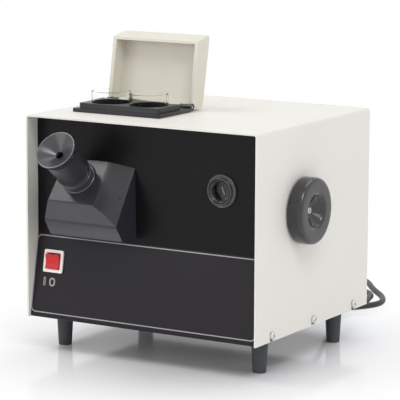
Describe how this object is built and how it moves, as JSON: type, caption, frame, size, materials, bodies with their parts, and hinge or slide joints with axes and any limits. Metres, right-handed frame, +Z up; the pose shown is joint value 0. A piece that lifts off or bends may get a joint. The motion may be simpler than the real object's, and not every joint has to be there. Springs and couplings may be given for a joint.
{
  "type": "oil colorimeter",
  "caption": "Bench colour comparator for oils: box cabinet on feet, inclined eyepiece, lidded jars on top, and a side knob that turns a wheel of colour glasses.",
  "frame": {"origin": "middle of the instrument's bounding box in plan, on the bench under its feet, the mains lead left out", "axes": "+X to the right along the front, +Y to the back, +Z up"},
  "size_m": [0.2796, 0.5278, 0.3081],
  "materials": {
    "cover_paint": "semi-gloss",
    "front_black": "gloss",
    "console_grey": "satin",
    "cast_grey": "fine texture",
    "eyepiece_black": "satin",
    "rubber_dark": "matt",
    "screw_steel": "bright",
    "zinc_sheet": "satin",
    "gear_brass": "satin",
    "bush_bronze": "satin",
    "wheel_black": "black anodised",
    "clear_glass": "polished",
    "lamp_glass": "frosted",
    "opal_plastic": "matt",
    "lid_plastic": "satin",
    "black_plastic": "satin",
    "knob_plastic": "gloss",
    "switch_white": "gloss",
    "switch_red": "gloss",
    "lead_rubber": "satin"
  },
  "bodies": {
    "cabinet": {"cover_shell": "cover_paint", "base_tray": "zinc_sheet", "rear_panel": "zinc_sheet", "front_panel": "front_black", "console_plate": "console_grey", "foot_front_left": "rubber_dark", "foot_front_right": "rubber_dark", "foot_rear_left": "rubber_dark", "foot_rear_right": "rubber_dark", "side_screw_right_1": "screw_steel", "side_screw_left_1": "screw_steel", "side_screw_right_2": "screw_steel", "side_screw_left_2": "screw_steel", "side_screw_right_3": "screw_steel", "side_screw_left_3": "screw_steel", "switch_case": "switch_white", "eyepiece_housing": "cast_grey", "prism": "clear_glass", "eyepiece_collar": "cast_grey", "window_bezel": "black_plastic", "window_glass": "clear_glass", "drive_bracket": "zinc_sheet", "wheel_shaft_bush": "bush_bronze", "knob_shaft_bush": "bush_bronze", "cover_bush": "bush_bronze", "jar_block": "black_plastic", "jar_cage": "black_plastic", "hinge_pin": "screw_steel", "lamp_house": "zinc_sheet", "diffuser": "opal_plastic", "lamp_shelf": "zinc_sheet", "lamp_holder": "opal_plastic", "lamp": "lamp_glass", "transformer": "black_plastic", "terminal_block": "opal_plastic", "strain_relief": "lead_rubber", "lead": "lead_rubber", "lead_coil": "lead_rubber", "plug": "lead_rubber"},
    "colour_wheel": {"colour_wheel": "wheel_black", "wheel_shaft": "screw_steel", "wheel_gear": "gear_brass"},
    "knob": {"knob": "knob_plastic", "knob_screw": "screw_steel", "knob_shaft": "screw_steel", "knob_gear": "gear_brass"},
    "lid": {"lid": "lid_plastic"},
    "switch_rocker": {"switch_rocker": "switch_red"},
    "eyepiece": {"eyepiece_barrel": "eyepiece_black", "eye_lens": "clear_glass"},
    "sample_jar": {"sample_jar": "clear_glass"},
    "reference_jar": {"reference_jar": "clear_glass"}
  },
  "joints": [
    {"name": "lid_hinge", "type": "hinge", "parent": "cabinet", "child": "lid", "pos_m": [-0.06105, 0.00151, 0.2394], "axis": [-1, 0, 0], "range_deg": [-99.5, 0]},
    {"name": "wheel_spin", "type": "hinge", "parent": "cabinet", "child": "colour_wheel", "pos_m": [0.01895, -0.07399, 0.152], "axis": [0, 1, 0], "continuous": true},
    {"name": "knob_spin", "type": "hinge", "parent": "cabinet", "child": "knob", "pos_m": [0.13195, -0.01799, 0.152], "axis": [1, 0, 0], "continuous": true},
    {"name": "rocker_tilt", "type": "hinge", "parent": "cabinet", "child": "switch_rocker", "pos_m": [-0.11255, -0.09342, 0.08971], "axis": [1, 0, 0], "range_deg": [-14, 0]},
    {"name": "eyepiece_focus", "type": "slide", "parent": "cabinet", "child": "eyepiece", "axis": [0, -0.7771, 0.6293], "range_m": [0, 0.008]},
    {"name": "sample_jar_lift", "type": "slide", "parent": "cabinet", "child": "sample_jar", "axis": [0, 0, 1], "range_m": [0, 0.13]},
    {"name": "reference_jar_lift", "type": "slide", "parent": "cabinet", "child": "reference_jar", "axis": [0, 0, 1], "range_m": [0, 0.13]}
  ],
  "couplings": [
    {"joint": "knob_spin", "follows": "wheel_spin", "ratio": 1}
  ]
}
